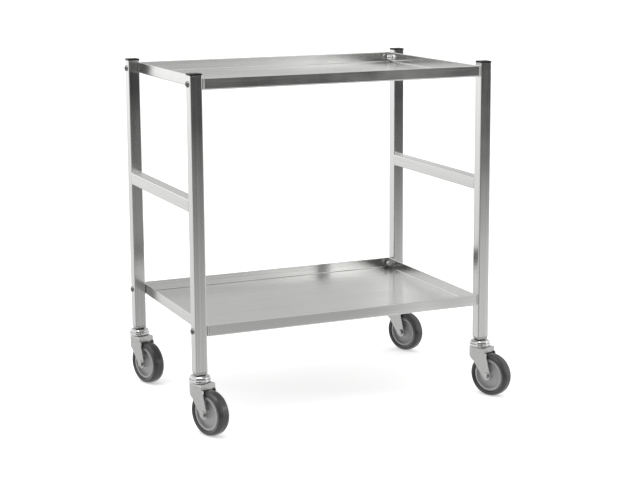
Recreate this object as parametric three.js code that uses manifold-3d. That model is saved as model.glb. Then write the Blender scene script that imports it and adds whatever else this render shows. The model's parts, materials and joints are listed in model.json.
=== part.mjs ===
// Two-shelf stainless ward trolley: a square-tube frame with two bolted sheet trays,
// two side rails, black tube caps and four swivel casters.
// Millimetres, +Z up, standing on z = 0. The origin is the middle of the box that the
// whole trolley fills, on the floor.

import * as THREE from 'three';
import { mergeVertices } from 'three/addons/utils/BufferGeometryUtils.js';
import Module from 'manifold-3d';

const wasm = await Module();
wasm.setup();

// ---------------------------------------------------------------- driving dimensions

const GAP = 0.3; // clearance between pieces that touch or turn against each other

const FRAME_LENGTH = 720; // outside of the posts, along X
const FRAME_DEPTH = 465; // outside of the posts, along Y
const TUBE_SIDE = 28;
const TUBE_WALL = 1.5;
const TUBE_CORNER = 3;
const POST_BOTTOM = 136;
const POST_TOP = 774;
const RAIL_MIDDLE = 496;

const CAP_FLANGE = 3.7;
const CAP_CROWN = 0.8; // how far the flange's edges are rounded over
const CAP_PLUG_DEPTH = 12; // stops above the upper tray bolt
const CAP_PLUG_WALL = 2.2;
const PLUG_CORNER = 1; // corner radius of the plugs that go into the posts

const TRAY_HEIGHT = 25;
const TRAY_SHEET = 1.4;
const TRAY_BEND = 3;
const TRAY_HEM_WIDTH = 2.6;
const TRAY_HEM_HEIGHT = 3;
const TRAY_INSET = 0.5; // tray front and back walls stand this far inside the posts' faces
const TRAY_BOTTOMS = { lower: 213, upper: 743 };

const BOLT_RADIUS = 4;
const BOLT_HEAD_RADIUS = 6.5;
const BOLT_HEAD_HEIGHT = 4.6;
const BOLT_HEAD_RIM = 1.84; // straight part of the head, and the floor of its socket
const BOLT_HEAD_FLAT_RADIUS = 4;
const BOLT_SOCKET_WIDTH = 4;
const BOLT_REACH = 8; // how far the thread stands inside the tray
const NUT_FLANGE_RADIUS = 9;
const NUT_FLANGE_HEIGHT = 1.6;
const NUT_HEX_WIDTH = 13;
const NUT_HEX_HEIGHT = 6.4;
// The nut's dome: [radius, height above the hexagon], upwards.
const NUT_DOME = [
  [6, 0],
  [4.8, 2.8],
  [0, 4.6],
];

const WHEEL_RADIUS = 50;
const WHEEL_SIDES = 30;
const HUB_SIDES = 18;
const AXLE_HEIGHT = WHEEL_RADIUS * Math.cos(Math.PI / WHEEL_SIDES); // a flat of the tyre is down
const TYRE_INNER_RADIUS = 38;
// One side of the tyre's section: [radius, half its width there], outwards.
const TYRE_SIDE = [
  [TYRE_INNER_RADIUS, 12],
  [45, 14.5],
  [48.5, 11],
  [WHEEL_RADIUS, 4.5],
];
const HUB_RIM_INNER_RADIUS = 29;
const HUB_RIM_WIDTH = 25;
const HUB_WEB_WIDTH = 12;
const HUB_BOSS_RADIUS = 10;
const HUB_DRAFT = 1; // how far the boss and the rim taper along the axle
const AXLE_RADIUS = 4;
const AXLE_HEX_WIDTH = 13;
const AXLE_HEAD_HEIGHT = 5.3;
const AXLE_TAIL = 2.5; // thread that stands out of the nut
const TRAIL = 32.5; // swivel axis to axle

const FORK_WIDTH = 40;
const FORK_PLATE = 2.8;
const FORK_TOP = 113;
const FORK_CROWN_BEND = 4;
const FORK_REAR_REACH = 26.5; // the rounded back of the crown, behind the swivel axis
const FORK_FRONT_REACH = 27; // the lip of the crown, ahead of the swivel axis
const FORK_LIP_BOTTOM = 101;
const FORK_SHOULDER = [-3, 79]; // where the back of the leg starts down towards the axle
const FORK_SHOULDER_PULL = 90; // height that the back's curve is drawn towards
const FORK_EYE_RADIUS = 11;
const FORK_EYE_START = Math.PI * 1.2; // where the leg's back and front edges meet the eye
const FORK_EYE_END = Math.PI * 2.05;
const FORK_LEG_FRONT = 3; // the leg's front edge starts this far ahead of the lip

const STEM_RADIUS = 5;
const STEM_TOP = 166;
const STEM_HEAD_RADIUS = 9;
const STEM_HEAD_HEIGHT = 6;
const RACE_RADIUS = 24.5;
const RACE_TOP = 128;
// The race's side: [inset from its radius, share of its height], upwards.
const RACE_SIDE = [
  [1.5, 0],
  [0, 0.2],
  [0.8, 0.4],
  [2.6, 0.46],
  [0.7, 0.55],
  [1, 0.78],
  [4, 0.96],
];
const INSERT_FOOT_RADIUS = 12.5;
const INSERT_TAPER_RADIUS = 18.5; // past the corners of the collar, so the taper ends square
const INSERT_SIDES = 16;
const INSERT_COLLAR_SIDE = 27;
const INSERT_COLLAR_RIM = 1;
const INSERT_PLUG_TOP = 176;

// How far each caster's wheel trails round from +X towards -Y, in degrees.
const CASTER_HEADINGS = { front_left: 69, back_left: 72, back_right: 67, front_right: 65 };

// The corners of the frame, as signs along X and Y.
const CORNERS = {
  front_left: [-1, -1],
  back_left: [-1, 1],
  back_right: [1, 1],
  front_right: [1, -1],
};

// ---------------------------------------------------------------- worked-out places

const POST_X = (FRAME_LENGTH - TUBE_SIDE) / 2;
const POST_Y = (FRAME_DEPTH - TUBE_SIDE) / 2;
const TUBE_BORE = TUBE_SIDE - 2 * TUBE_WALL;
const PLUG_SIDE = TUBE_BORE - 2 * GAP;
const TRAY_LENGTH = FRAME_LENGTH - 2 * TUBE_SIDE - 2 * GAP;
const TRAY_DEPTH = FRAME_DEPTH - 2 * TRAY_INSET;
const BOLT_HOLE_RADIUS = BOLT_RADIUS + GAP;
const BOLT_HEIGHTS = {
  lower: TRAY_BOTTOMS.lower + TRAY_HEIGHT / 2,
  upper: TRAY_BOTTOMS.upper + TRAY_HEIGHT / 2,
};
const FORK_GAP = FORK_WIDTH - 2 * FORK_PLATE;
const AXLE_FACE = FORK_WIDTH / 2 + GAP; // where the axle's head and nut seat
const AXLE_HOLE_RADIUS = AXLE_RADIUS + GAP;
const STEM_HOLE_RADIUS = STEM_RADIUS + GAP;

const OVER = 1; // how far a cutting shape runs past what it cuts
const FAR = 100; // further than any caster reaches
const CHAMFER = 1; // bolt ends
const ROD_SIDES = 12;

// ---------------------------------------------------------------- materials

const finish = (color, metalness, roughness) =>
  new THREE.MeshStandardMaterial({ color, metalness, roughness });

const materials = {
  tube: finish(0xb9b9b7, 1, 0.35),
  sheet: finish(0xc3c3c2, 1, 0.3),
  fastener: finish(0x8d8f90, 1, 0.35),
  zinc: finish(0xb2b3b0, 1, 0.4),
  chrome: finish(0xc8c9ca, 1, 0.15),
  cap: finish(0x131314, 0, 0.5),
  hub: finish(0x8a8b8b, 0, 0.5),
  tyre: finish(0x4d4e4f, 0, 0.6),
};

// ---------------------------------------------------------------- shapes and solids

// A closed geometry as a solid that can be joined and cut.
function solidOf(geometry) {
  const bare = geometry.clone();
  bare.deleteAttribute('normal');
  bare.deleteAttribute('uv');
  const merged = mergeVertices(bare, 1e-4);
  const corners = merged.index.array;
  const kept = [];
  for (let i = 0; i < corners.length; i += 3) {
    const [a, b, c] = corners.slice(i, i + 3);
    if (a !== b && b !== c && c !== a) kept.push(a, b, c);
  }
  return new wasm.Manifold(
    new wasm.Mesh({
      numProp: 3,
      vertProperties: new Float32Array(merged.attributes.position.array),
      triVerts: new Uint32Array(kept),
    }),
  );
}

function geometryOf(solid) {
  const mesh = solid.getMesh();
  const geometry = new THREE.BufferGeometry();
  geometry.setAttribute('position', new THREE.BufferAttribute(mesh.vertProperties, 3));
  geometry.setIndex(new THREE.BufferAttribute(mesh.triVerts, 1));
  geometry.computeVertexNormals();
  return geometry;
}

// A box between two corners.
function block([x0, y0, z0], [x1, y1, z1]) {
  const geometry = new THREE.BoxGeometry(x1 - x0, y1 - y0, z1 - z0);
  geometry.translate((x0 + x1) / 2, (y0 + y1) / 2, (z0 + z1) / 2);
  return solidOf(geometry);
}

// A flat outline raised from z0 to z1.
function prism(outline, z0, z1, curveSegments = 2) {
  const options = { depth: z1 - z0, bevelEnabled: false, curveSegments };
  const geometry = new THREE.ExtrudeGeometry(outline, options);
  geometry.translate(0, 0, z0);
  return solidOf(geometry);
}

// A round rod along X from x0 to x1, through y and z.
function rodAlongX(radius, x0, x1, y, z) {
  const geometry = new THREE.CylinderGeometry(radius, radius, x1 - x0, ROD_SIDES);
  geometry.rotateZ(Math.PI / 2);
  geometry.translate((x0 + x1) / 2, y, z);
  return solidOf(geometry);
}

// A profile of [radius, height] points turned about Z.
function turned(profile, sides) {
  const points = profile.map(([radius, height]) => new THREE.Vector2(radius, height));
  const geometry = new THREE.LatheGeometry(points, sides);
  geometry.rotateX(Math.PI / 2);
  return solidOf(geometry);
}

// A round cutter or rod about Z.
function round(radius, z0, z1) {
  return turned([[0, z0], [radius, z0], [radius, z1], [0, z1]], ROD_SIDES);
}

function roundedSquare(side, corner) {
  const half = side / 2;
  const flat = half - corner;
  const outline = new THREE.Shape();
  outline.absarc(flat, flat, corner, 0, Math.PI / 2);
  outline.absarc(-flat, flat, corner, Math.PI / 2, Math.PI);
  outline.absarc(-flat, -flat, corner, Math.PI, Math.PI * 1.5);
  outline.absarc(flat, -flat, corner, Math.PI * 1.5, Math.PI * 2);
  return outline;
}

function hexagon(width) {
  const radius = width / Math.sqrt(3);
  const outline = new THREE.Shape();
  for (let i = 0; i < 6; i += 1) {
    const angle = (i * Math.PI) / 3;
    outline.lineTo(radius * Math.cos(angle), radius * Math.sin(angle));
  }
  return outline;
}

// A length of square tube standing between two heights.
function squareTube(z0, z1) {
  const outside = prism(roundedSquare(TUBE_SIDE, TUBE_CORNER), z0, z1);
  const inside = prism(roundedSquare(TUBE_BORE, TUBE_CORNER - TUBE_WALL), z0 - OVER, z1 + OVER, 1);
  return outside.subtract(inside);
}

// ---------------------------------------------------------------- frame

// A post stands at its own axis, drilled across at both trays.
function post() {
  let tube = squareTube(POST_BOTTOM, POST_TOP);
  for (const height of Object.values(BOLT_HEIGHTS)) {
    tube = tube.subtract(rodAlongX(BOLT_HOLE_RADIUS, -TUBE_SIDE, TUBE_SIDE, 0, height));
  }
  return geometryOf(tube);
}

// A black plug with a crowned flange, hollow below.
function cap() {
  const seat = POST_TOP + GAP;
  const top = seat + CAP_FLANGE;
  const options = {
    depth: CAP_FLANGE - CAP_CROWN,
    bevelThickness: CAP_CROWN,
    bevelSize: CAP_CROWN,
    bevelSegments: 1,
    curveSegments: 2,
  };
  const inner = roundedSquare(TUBE_SIDE - 2 * CAP_CROWN, TUBE_CORNER - CAP_CROWN);
  const flange = new THREE.ExtrudeGeometry(inner, options);
  flange.translate(0, 0, seat);
  const plugBottom = POST_TOP - CAP_PLUG_DEPTH;
  const hollow = PLUG_SIDE - 2 * CAP_PLUG_WALL;
  const plug = prism(roundedSquare(PLUG_SIDE, PLUG_CORNER), plugBottom, top - CAP_CROWN, 1);
  const space = prism(roundedSquare(hollow, PLUG_CORNER), plugBottom - OVER, POST_TOP - OVER, 1);
  const below = block([-TUBE_SIDE, -TUBE_SIDE, seat - 2 * CAP_CROWN], [TUBE_SIDE, TUBE_SIDE, seat]);
  return geometryOf(solidOf(flange).subtract(below).add(plug).subtract(space));
}

// A rail lies along Y between the posts of one end.
function rail() {
  const length = FRAME_DEPTH - 2 * TUBE_SIDE - 2 * GAP;
  const tube = geometryOf(squareTube(-length / 2, length / 2));
  tube.rotateX(Math.PI / 2);
  return tube;
}

// A box outline with its lower edges rounded, open-ended upwards, for both faces of a tray.
function pan(length, depth, bottom, bend) {
  const width = length / 2 - bend;
  const reach = depth / 2 - bend;
  const outline = new THREE.Shape();
  outline.moveTo(-width, -reach);
  outline.lineTo(width, -reach);
  outline.lineTo(width, reach);
  outline.lineTo(-width, reach);
  const options = { depth: 2 * TRAY_HEIGHT, bevelThickness: bend, bevelSize: bend, bevelSegments: 3 };
  const geometry = new THREE.ExtrudeGeometry(outline, options);
  geometry.translate(0, 0, bottom + bend);
  return solidOf(geometry);
}

// A sheet pan with turned-up walls and a hemmed edge, drilled in its end walls.
function tray() {
  const innerLength = TRAY_LENGTH - 2 * TRAY_SHEET;
  const innerDepth = TRAY_DEPTH - 2 * TRAY_SHEET;
  const halfOpening = [TRAY_LENGTH / 2 - TRAY_HEM_WIDTH, TRAY_DEPTH / 2 - TRAY_HEM_WIDTH];
  const hemBottom = TRAY_HEIGHT - TRAY_HEM_HEIGHT;
  const outer = pan(TRAY_LENGTH, TRAY_DEPTH, 0, TRAY_BEND);
  const ceiling = block(
    [-TRAY_LENGTH, -TRAY_DEPTH, TRAY_HEIGHT],
    [TRAY_LENGTH, TRAY_DEPTH, 4 * TRAY_HEIGHT],
  );
  const below = block([-TRAY_LENGTH, -TRAY_DEPTH, -OVER], [TRAY_LENGTH, TRAY_DEPTH, hemBottom]);
  const hollow = pan(innerLength, innerDepth, TRAY_SHEET, TRAY_BEND - TRAY_SHEET).intersect(below);
  const mouth = block(
    [-halfOpening[0], -halfOpening[1], hemBottom - OVER],
    [halfOpening[0], halfOpening[1], TRAY_HEIGHT + OVER],
  );
  let sheet = outer.subtract(ceiling).subtract(hollow).subtract(mouth);
  for (const side of [-1, 1]) {
    const wall = side * (TRAY_LENGTH / 2);
    for (const y of [-POST_Y, POST_Y]) {
      const [x0, x1] = [wall - TRAY_HEM_WIDTH, wall + TRAY_HEM_WIDTH];
      const drill = rodAlongX(BOLT_HOLE_RADIUS, x0, x1, y, TRAY_HEIGHT / 2);
      sheet = sheet.subtract(drill);
    }
  }
  return geometryOf(sheet);
}

// A socket screw along +X. Its head stands outside x = 0 and its thread runs towards -X.
function screw() {
  const thread = TUBE_SIDE + GAP + TRAY_SHEET + BOLT_REACH;
  const headTop = GAP + BOLT_HEAD_HEIGHT;
  const profile = [
    [0, -thread],
    [BOLT_RADIUS - CHAMFER, -thread],
    [BOLT_RADIUS, CHAMFER - thread],
    [BOLT_RADIUS, GAP],
    [BOLT_HEAD_RADIUS, GAP],
    [BOLT_HEAD_RADIUS, GAP + BOLT_HEAD_RIM],
    [BOLT_HEAD_FLAT_RADIUS, headTop],
    [0, headTop],
  ];
  const socket = prism(hexagon(BOLT_SOCKET_WIDTH), GAP + BOLT_HEAD_RIM, headTop + OVER);
  const geometry = geometryOf(turned(profile, ROD_SIDES).subtract(socket));
  geometry.rotateY(Math.PI / 2);
  return geometry;
}

// A flanged dome nut along -X. Its flange seats on x = 0 and its blind hole opens there.
function domeNut() {
  const hexTop = NUT_FLANGE_HEIGHT + NUT_HEX_HEIGHT;
  const flange = round(NUT_FLANGE_RADIUS, 0, NUT_FLANGE_HEIGHT);
  const body = prism(hexagon(NUT_HEX_WIDTH), 0, hexTop);
  const domeSide = NUT_DOME.map(([radius, height]) => [radius, hexTop + height]);
  const dome = turned([[0, hexTop - OVER], [NUT_DOME[0][0], hexTop - OVER], ...domeSide], ROD_SIDES);
  const hole = round(BOLT_HOLE_RADIUS, -OVER, BOLT_REACH + GAP);
  const geometry = geometryOf(flange.add(body).add(dome).subtract(hole));
  geometry.rotateY(-Math.PI / 2);
  return geometry;
}

// ---------------------------------------------------------------- casters
// Each caster is built about its swivel axis, with its wheel trailing along +X.

// A square plug for the post, with a foot that tapers to a round.
function insert() {
  const seat = POST_BOTTOM - GAP;
  const foot = RACE_TOP + GAP;
  const square = roundedSquare(INSERT_COLLAR_SIDE, TUBE_CORNER);
  const taper = turned(
    [
      [0, foot],
      [INSERT_FOOT_RADIUS, foot],
      [INSERT_TAPER_RADIUS, seat - INSERT_COLLAR_RIM],
      [INSERT_TAPER_RADIUS, seat],
      [0, seat],
    ],
    INSERT_SIDES,
  );
  const collar = taper.intersect(prism(square, foot - OVER, seat + OVER));
  const plug = prism(roundedSquare(PLUG_SIDE, PLUG_CORNER), seat - OVER, INSERT_PLUG_TOP, 1);
  const bore = round(STEM_HOLE_RADIUS, foot - OVER, INSERT_PLUG_TOP + OVER);
  return geometryOf(collar.add(plug).subtract(bore));
}

// The king bolt, with its head under the fork crown.
function stem() {
  const headTop = FORK_TOP - FORK_PLATE - GAP;
  const headBottom = headTop - STEM_HEAD_HEIGHT;
  return geometryOf(
    turned(
      [
        [0, headBottom],
        [STEM_HEAD_RADIUS - CHAMFER, headBottom],
        [STEM_HEAD_RADIUS, headBottom + CHAMFER],
        [STEM_HEAD_RADIUS, headTop],
        [STEM_RADIUS, headTop],
        [STEM_RADIUS, STEM_TOP - CHAMFER],
        [STEM_RADIUS - CHAMFER, STEM_TOP],
        [0, STEM_TOP],
      ],
      ROD_SIDES,
    ),
  );
}

// The ball-race housing: two rounded rings with a groove between them.
function race() {
  const bottom = FORK_TOP + GAP;
  const height = RACE_TOP - bottom;
  const side = RACE_SIDE.map(([inset, share]) => [RACE_RADIUS - inset, bottom + height * share]);
  const bottomEdge = [STEM_HOLE_RADIUS, bottom];
  return geometryOf(turned([bottomEdge, ...side, [STEM_HOLE_RADIUS, RACE_TOP], bottomEdge], 18));
}

// The side view of the fork, x forward and y up: crown, lip, leg and eye.
function forkSide() {
  const outline = new THREE.Shape();
  outline.moveTo(-FORK_REAR_REACH, FORK_TOP);
  outline.lineTo(-FORK_REAR_REACH, FORK_LIP_BOTTOM);
  outline.quadraticCurveTo(-FORK_REAR_REACH, FORK_SHOULDER_PULL, ...FORK_SHOULDER);
  outline.absarc(TRAIL, AXLE_HEIGHT, FORK_EYE_RADIUS, FORK_EYE_START, FORK_EYE_END, false);
  outline.lineTo(FORK_FRONT_REACH + FORK_LEG_FRONT, FORK_LIP_BOTTOM);
  outline.lineTo(FORK_FRONT_REACH, FORK_LIP_BOTTOM);
  outline.lineTo(FORK_FRONT_REACH, FORK_TOP);
  return outline;
}

// The top view of the fork: straight sides and a half-oval back, as a bent shell from
// the floor to a crown at height top.
function forkPlan(width, rear, front, top, bend, bendSteps) {
  const half = width / 2 - bend;
  const outline = new THREE.Shape();
  outline.moveTo(0, half);
  outline.absellipse(0, 0, rear - bend, half, Math.PI / 2, Math.PI * 1.5, false);
  outline.lineTo(front - bend, -half);
  outline.lineTo(front - bend, half);
  const options = {
    depth: top - 2 * bend,
    bevelThickness: bend,
    bevelSize: bend,
    bevelSegments: bendSteps,
    curveSegments: 8,
  };
  const geometry = new THREE.ExtrudeGeometry(outline, options);
  geometry.translate(0, 0, bend);
  return solidOf(geometry);
}

// A pressed fork: crown with a rounded back and a front lip, and two legs.
function fork() {
  const half = FORK_WIDTH / 2 + OVER;
  const side = prism(forkSide(), -half, half, 5).rotate([90, 0, 0]);
  const shell = forkPlan(FORK_WIDTH, FORK_REAR_REACH, FAR, FORK_TOP, FORK_CROWN_BEND, 2);
  const hollow = forkPlan(
    FORK_GAP,
    FORK_REAR_REACH - FORK_PLATE,
    FORK_FRONT_REACH - FORK_PLATE,
    FORK_TOP - FORK_PLATE,
    FORK_CROWN_BEND - FORK_PLATE,
    1,
  );
  const throat = block([0, -FORK_GAP / 2, 0], [FAR, FORK_GAP / 2, FORK_LIP_BOTTOM]);
  const swivelHole = round(STEM_HOLE_RADIUS, FORK_LIP_BOTTOM, FORK_TOP + OVER);
  const eye = round(AXLE_HOLE_RADIUS, -half, half).rotate([90, 0, 0]);
  const plates = side.intersect(shell).subtract(hollow).subtract(throat);
  return geometryOf(plates.subtract(swivelHole).subtract(eye.translate([TRAIL, 0, AXLE_HEIGHT])));
}

// A [radius, width] profile of one side, mirrored and turned about Y.
function wheelPart(profile, sides) {
  const left = profile.map(([radius, width]) => new THREE.Vector2(radius, -width));
  const right = profile.toReversed().map(([radius, width]) => new THREE.Vector2(radius, width));
  const geometry = new THREE.LatheGeometry([...left, ...right, left[0]], sides, Math.PI / sides);
  return geometryOf(solidOf(geometry));
}

function tyre() {
  return wheelPart(TYRE_SIDE, WHEEL_SIDES);
}

// The wheel centre: bored boss, web and rim in one moulding.
function hub() {
  return wheelPart(
    [
      [AXLE_HOLE_RADIUS, FORK_GAP / 2 - GAP],
      [HUB_BOSS_RADIUS - HUB_DRAFT, FORK_GAP / 2 - GAP],
      [HUB_BOSS_RADIUS, HUB_WEB_WIDTH / 2],
      [HUB_RIM_INNER_RADIUS, HUB_WEB_WIDTH / 2],
      [HUB_RIM_INNER_RADIUS + HUB_DRAFT, HUB_RIM_WIDTH / 2],
      [TYRE_INNER_RADIUS - GAP, HUB_RIM_WIDTH / 2],
    ],
    HUB_SIDES,
  );
}

// The axle bolt lies along Y, with its head outside the -Y leg.
function axleBolt() {
  const end = AXLE_FACE + AXLE_HEAD_HEIGHT + AXLE_TAIL;
  const profile = [
    [0, -AXLE_FACE - OVER],
    [AXLE_RADIUS, -AXLE_FACE - OVER],
    [AXLE_RADIUS, end - CHAMFER],
    [AXLE_RADIUS - CHAMFER, end],
    [0, end],
  ];
  const head = prism(hexagon(AXLE_HEX_WIDTH), -AXLE_FACE - AXLE_HEAD_HEIGHT, -AXLE_FACE);
  const geometry = geometryOf(turned(profile, ROD_SIDES).add(head));
  geometry.rotateX(-Math.PI / 2);
  return geometry;
}

function axleNut() {
  const end = AXLE_FACE + AXLE_HEAD_HEIGHT;
  const hole = round(AXLE_HOLE_RADIUS, AXLE_FACE - OVER, end + OVER);
  const body = prism(hexagon(AXLE_HEX_WIDTH), AXLE_FACE, end);
  const geometry = geometryOf(body.subtract(hole));
  geometry.rotateX(-Math.PI / 2);
  return geometry;
}

// ---------------------------------------------------------------- assembly

const cart = new THREE.Group();

function add(parent, name, geometry, material, x = 0, y = 0, z = 0) {
  const mesh = new THREE.Mesh(geometry, material);
  mesh.name = name;
  mesh.position.set(x, y, z);
  parent.add(mesh);
}

function addCaster(corner, x, y) {
  const fixed = new THREE.Group();
  fixed.position.set(x, y, 0);
  add(fixed, `caster_${corner}_insert`, insert(), materials.zinc);
  add(fixed, `caster_${corner}_stem`, stem(), materials.zinc);
  add(fixed, `caster_${corner}_race`, race(), materials.chrome);
  cart.add(fixed);

  const swivel = new THREE.Group();
  swivel.position.set(x, y, 0);
  swivel.rotation.z = -THREE.MathUtils.degToRad(CASTER_HEADINGS[corner]);
  add(swivel, `caster_${corner}_fork`, fork(), materials.zinc);
  const axle = new THREE.Group();
  axle.position.set(TRAIL, 0, AXLE_HEIGHT);
  add(axle, `caster_${corner}_axle_bolt`, axleBolt(), materials.zinc);
  add(axle, `caster_${corner}_axle_nut`, axleNut(), materials.zinc);
  add(axle, `caster_${corner}_hub`, hub(), materials.hub);
  add(axle, `caster_${corner}_tyre`, tyre(), materials.tyre);
  swivel.add(axle);
  cart.add(swivel);
}

for (const [level, bottom] of Object.entries(TRAY_BOTTOMS)) {
  add(cart, `tray_${level}`, tray(), materials.sheet, 0, 0, bottom);
}

for (const [name, side] of [['rail_left', -1], ['rail_right', 1]]) {
  add(cart, name, rail(), materials.tube, side * POST_X, 0, RAIL_MIDDLE);
}

for (const [corner, [sideX, sideY]] of Object.entries(CORNERS)) {
  const x = sideX * POST_X;
  const y = sideY * POST_Y;
  add(cart, `post_${corner}`, post(), materials.tube, x, y);
  add(cart, `cap_${corner}`, cap(), materials.cap, x, y);
  for (const [level, height] of Object.entries(BOLT_HEIGHTS)) {
    const bolt = screw();
    const nut = domeNut();
    if (sideX < 0) {
      bolt.rotateZ(Math.PI);
      nut.rotateZ(Math.PI);
    }
    const outside = sideX * (FRAME_LENGTH / 2);
    const inside = sideX * (TRAY_LENGTH / 2 - TRAY_SHEET - GAP);
    add(cart, `bolt_${level}_${corner}`, bolt, materials.fastener, outside, y, height);
    add(cart, `nut_${level}_${corner}`, nut, materials.fastener, inside, y, height);
  }
  addCaster(corner, x, y);
}

// The casters swing out past the posts, so the whole is moved to stand about its origin.
cart.updateMatrixWorld(true);
const filled = new THREE.Box3().setFromObject(cart, true);
const middle = filled.getCenter(new THREE.Vector3());
cart.position.set(-middle.x, -middle.y, -filled.min.z);
cart.updateMatrixWorld(true);

export default cart;
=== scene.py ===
"""Looks for the two-shelf ward trolley: brushed stainless frame and trays on zinc-plated casters.

Everything is in metres, in the row frame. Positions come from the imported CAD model.
"""

import json
import math

import bmesh
import bpy
from mathutils import Matrix, Vector


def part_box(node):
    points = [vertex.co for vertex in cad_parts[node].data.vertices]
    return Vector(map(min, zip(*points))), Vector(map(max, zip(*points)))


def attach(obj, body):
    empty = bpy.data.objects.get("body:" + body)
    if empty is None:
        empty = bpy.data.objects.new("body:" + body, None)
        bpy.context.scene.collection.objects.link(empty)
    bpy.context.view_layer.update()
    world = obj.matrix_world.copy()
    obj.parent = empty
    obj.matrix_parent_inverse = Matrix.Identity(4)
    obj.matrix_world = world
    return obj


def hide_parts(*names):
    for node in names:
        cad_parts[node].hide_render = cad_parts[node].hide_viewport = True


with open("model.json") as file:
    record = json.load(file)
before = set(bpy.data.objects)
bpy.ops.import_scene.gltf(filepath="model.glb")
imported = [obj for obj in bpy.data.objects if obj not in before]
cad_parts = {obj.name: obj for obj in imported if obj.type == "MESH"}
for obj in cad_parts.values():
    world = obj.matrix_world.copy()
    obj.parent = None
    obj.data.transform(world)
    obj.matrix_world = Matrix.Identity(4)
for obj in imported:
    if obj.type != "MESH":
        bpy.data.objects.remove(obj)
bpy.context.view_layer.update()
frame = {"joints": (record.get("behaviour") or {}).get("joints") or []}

MM = 0.001
CORNERS = ("front_left", "back_left", "back_right", "front_right")
LEVELS = ("lower", "upper")
ENDS = ("left", "right")
JOINTS = {joint["name"]: joint for joint in frame["joints"]}

# ---------------------------------------------------------------- sizes, in metres

TUBE = 28 * MM
TUBE_WALL = 1.5 * MM
TUBE_CORNER = 3 * MM
EDGE = 0.3 * MM  # deburred edge of a cut tube or plate
SHEET = 1.4 * MM
SHEET_BEND = 3 * MM
HEM = 2.6 * MM
HEM_HEIGHT = 3 * MM
BOLT_RADIUS = 4 * MM
WASHER_RADIUS = 6.9 * MM
WASHER_HEIGHT = 1.2 * MM
HEX = 13 * MM
FORK_WIDTH = 40 * MM
FORK_PLATE = 2.8 * MM
CROWN_BEND = 4 * MM
TYRE_WIDTH = 29 * MM
GAP = 0.3 * MM

# ---------------------------------------------------------------- shapes


def soften(corners, closed=True, steps=6):
    """A line through [x, y, radius] corners, with an arc of that radius at each."""
    line = []
    for i, (x, y, radius) in enumerate(corners):
        here = Vector((x, y))
        if radius == 0 or (not closed and i in (0, len(corners) - 1)):
            line.append(here)
            continue
        before = (Vector(corners[i - 1][:2]) - here).normalized()
        after = (Vector(corners[(i + 1) % len(corners)][:2]) - here).normalized()
        half = before.angle(after) / 2
        centre = here + (before + after).normalized() * radius / math.sin(half)
        start = here + before * radius / math.tan(half) - centre
        end = here + after * radius / math.tan(half) - centre
        first = math.atan2(start.y, start.x)
        turn = math.atan2(end.y, end.x) - first
        turn = (turn + math.pi) % (2 * math.pi) - math.pi
        for k in range(steps + 1):
            angle = first + turn * k / steps
            line.append(centre + radius * Vector((math.cos(angle), math.sin(angle))))
    return line


def lofted(rings, looped=False):
    """Vertices and faces of a skin over rings of equal count, capped unless it is looped."""
    count = len(rings[0])
    vertices = [tuple(point) for ring in rings for point in ring]
    faces = []
    for i in range(len(rings) if looped else len(rings) - 1):
        a, b = i * count, ((i + 1) % len(rings)) * count
        for k in range(count):
            m = (k + 1) % count
            faces.append((a + k, a + m, b + m, b + k))
    if not looped:
        faces.append(tuple(range(count)))
        faces.append(tuple(range((len(rings) - 1) * count, len(rings) * count)))
    return vertices, faces


def rectangle(length, depth, radius, z, steps=6):
    """A rounded rectangle at height z."""
    x, y = length / 2, depth / 2
    corners = [(x, y, radius), (-x, y, radius), (-x, -y, radius), (x, -y, radius)]
    return [(p.x, p.y, z) for p in soften(corners, steps=steps)]


def square(side, radius, z, steps=6):
    return rectangle(side, side, radius, z, steps)


def polar(radius_at, z, count=72):
    """A ring at height z whose radius is a function of the angle."""
    ring = []
    for k in range(count):
        angle = 2 * math.pi * k / count
        radius = radius_at(angle)
        ring.append((radius * math.cos(angle), radius * math.sin(angle), z))
    return ring


def circle(radius, z, count=72):
    return polar(lambda angle: radius, z, count)


def hexagon_radius(width, angle):
    """The radius of a hexagon, given its width across flats."""
    within = (angle + math.pi / 6) % (math.pi / 3) - math.pi / 6
    return width / 2 / math.cos(within)


def hexagon(width, z, most=1.0, count=72):
    """A hexagon with its points rounded off at the radius most."""
    return polar(lambda angle: min(hexagon_radius(width, angle), most), z, count)


def turned(profile, count=72, looped=False):
    """A line of (radius, height) points turned about Z."""
    return lofted([circle(max(p[0], 1e-6), p[1], count) for p in profile], looped)


def extruded(outline, y0, y1):
    """A flat outline of (x, z) points, thickened along Y."""
    return lofted([[(p[0], y, p[1]) for p in outline] for y in (y0, y1)])


# ---------------------------------------------------------------- pieces


def mesh_object(name, shape):
    vertices, faces = shape
    mesh = bpy.data.meshes.new(name)
    mesh.from_pydata(vertices, [], faces)
    bm = bmesh.new()
    bm.from_mesh(mesh)
    bmesh.ops.remove_doubles(bm, verts=bm.verts, dist=1e-7)
    bmesh.ops.dissolve_degenerate(bm, edges=bm.edges, dist=1e-7)
    bmesh.ops.recalc_face_normals(bm, faces=bm.faces)
    bm.to_mesh(mesh)
    bm.free()
    obj = bpy.data.objects.new(name, mesh)
    bpy.context.scene.collection.objects.link(obj)
    return obj


def combine(base, operation, *others):
    """Cuts, joins or crosses base with other objects, which are used up."""
    for other in others:
        step = base.modifiers.new(operation, "BOOLEAN")
        step.operation = operation
        step.solver = "EXACT"
        step.object = other
        apply_modifiers(base)
        bpy.data.objects.remove(other)
    return base


def apply_modifiers(obj):
    graph = bpy.context.evaluated_depsgraph_get()
    made = bpy.data.meshes.new_from_object(obj.evaluated_get(graph))
    obj.modifiers.clear()
    obj.data = made


def ease_edges(obj, width, angle=38):
    """Rounds the sharp edges of a piece."""
    bevel = obj.modifiers.new("edges", "BEVEL")
    bevel.width = width
    bevel.segments = 2
    bevel.limit_method = "ANGLE"
    bevel.angle_limit = math.radians(angle)
    bevel.use_clamp_overlap = True
    apply_modifiers(obj)


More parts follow.
